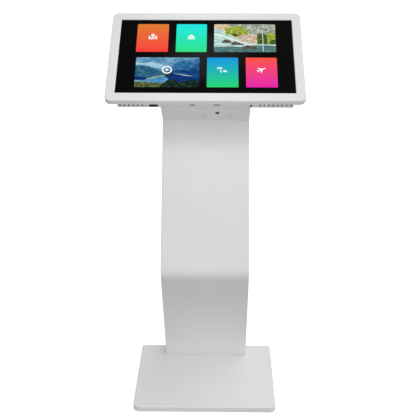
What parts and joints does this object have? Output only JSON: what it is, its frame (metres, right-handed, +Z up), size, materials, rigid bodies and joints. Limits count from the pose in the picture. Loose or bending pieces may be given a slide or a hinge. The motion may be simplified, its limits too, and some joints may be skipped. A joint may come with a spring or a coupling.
{
  "type": "touchscreen kiosk",
  "caption": "Free-standing touchscreen kiosk: landscape screen head tilted on a folded white steel column with a weighted base plate.",
  "frame": {"origin": "centre of the base's underside, on the floor", "axes": "+Z up, the screen and the base's long free end face -Y, +X to the right of a person in front of the screen"},
  "size_m": [0.531, 0.5116, 1.0093],
  "materials": {
    "white_powder_coat": "satin white powder coat with a fine texture",
    "screen_glass": "clear toughened touch glass over a dark screen",
    "display": "lit display panel in a metal tray",
    "zinc_plated_steel": "zinc plate",
    "ballast_steel": "black oiled steel plate",
    "aluminium": "satin",
    "black_plastic": "moulded",
    "black_window": "gloss infrared window",
    "black_rubber": "matt",
    "cable_sheath": "satin",
    "circuit_board": "solder mask"
  },
  "bodies": {
    "root": {"ballast_plate": "ballast_steel", "base_cover": "white_powder_coat", "button_switch": "black_plastic", "cable_grommet": "black_rubber", "column_cable": "cable_sheath", "column_shell": "white_powder_coat", "display_panel": "display", "floor_mat": "black_rubber", "foot_bolt_1": "zinc_plated_steel", "foot_bolt_2": "zinc_plated_steel", "foot_bolt_3": "zinc_plated_steel", "foot_bolt_4": "zinc_plated_steel", "foot_flange": "zinc_plated_steel", "front_frame": "white_powder_coat", "hdmi_socket": "zinc_plated_steel", "head_mount_plate": "zinc_plated_steel", "heatsink": "aluminium", "io_socket": "black_plastic", "lower_cover_screw_left_1": "zinc_plated_steel", "lower_cover_screw_right_1": "zinc_plated_steel", "lower_hinge_fixed_knuckle": "zinc_plated_steel", "lower_hinge_pin": "zinc_plated_steel", "mainboard": "circuit_board", "mains_lead": "cable_sheath", "media_player": "aluminium", "mount_screw_1": "zinc_plated_steel", "mount_screw_2": "zinc_plated_steel", "mount_screw_3": "zinc_plated_steel", "mount_screw_4": "zinc_plated_steel", "panel_bracket": "zinc_plated_steel", "power_board": "circuit_board", "power_inlet": "black_plastic", "power_strip": "black_plastic", "rear_cover_lower": "white_powder_coat", "rear_cover_upper": "white_powder_coat", "rear_housing": "white_powder_coat", "sensor_module": "black_plastic", "sensor_window": "black_window", "service_plate": "white_powder_coat", "service_screw_left": "zinc_plated_steel", "service_screw_right": "zinc_plated_steel", "speaker_left": "black_plastic", "speaker_right": "black_plastic", "switch_bezel": "black_plastic", "touch_glass": "screen_glass", "upper_cover_screw_left_1": "zinc_plated_steel", "upper_cover_screw_left_2": "zinc_plated_steel", "upper_cover_screw_right_1": "zinc_plated_steel", "upper_cover_screw_right_2": "zinc_plated_steel", "upper_hinge_fixed_knuckle": "zinc_plated_steel", "upper_hinge_pin": "zinc_plated_steel", "usb_socket": "zinc_plated_steel"},
    "door": {"access_door": "white_powder_coat", "lower_hinge_door_knuckle": "zinc_plated_steel", "upper_hinge_door_knuckle": "zinc_plated_steel", "lock_barrel": "zinc_plated_steel"},
    "lock": {"lock_plug": "zinc_plated_steel", "lock_cam": "zinc_plated_steel"},
    "rocker": {"switch_rocker": "black_plastic"},
    "button": {"power_button": "black_plastic"}
  },
  "joints": [
    {"name": "door_hinge", "type": "hinge", "parent": "root", "child": "door", "pos_m": [0.117, 0.08537, 0.20663], "axis": [0, 0.3338, -0.9426], "range_deg": [0, 110]},
    {"name": "lock_turn", "type": "hinge", "parent": "door", "child": "lock", "pos_m": [-0.086, 0.07992, 0.21213], "axis": [0, 0.9426, 0.3338], "range_deg": [0, 90]},
    {"name": "power_switch_rock", "type": "hinge", "parent": "root", "child": "rocker", "pos_m": [0.04, 0.13387, 0.05619], "axis": [-1, 0, 0], "range_deg": [0, 14]},
    {"name": "power_button_press", "type": "slide", "parent": "root", "child": "button", "axis": [0, 0.8396, 0.5432], "range_m": [0, 0.0012], "stiffness_N_per_m": 300, "springref_m": -0.0005}
  ]
}
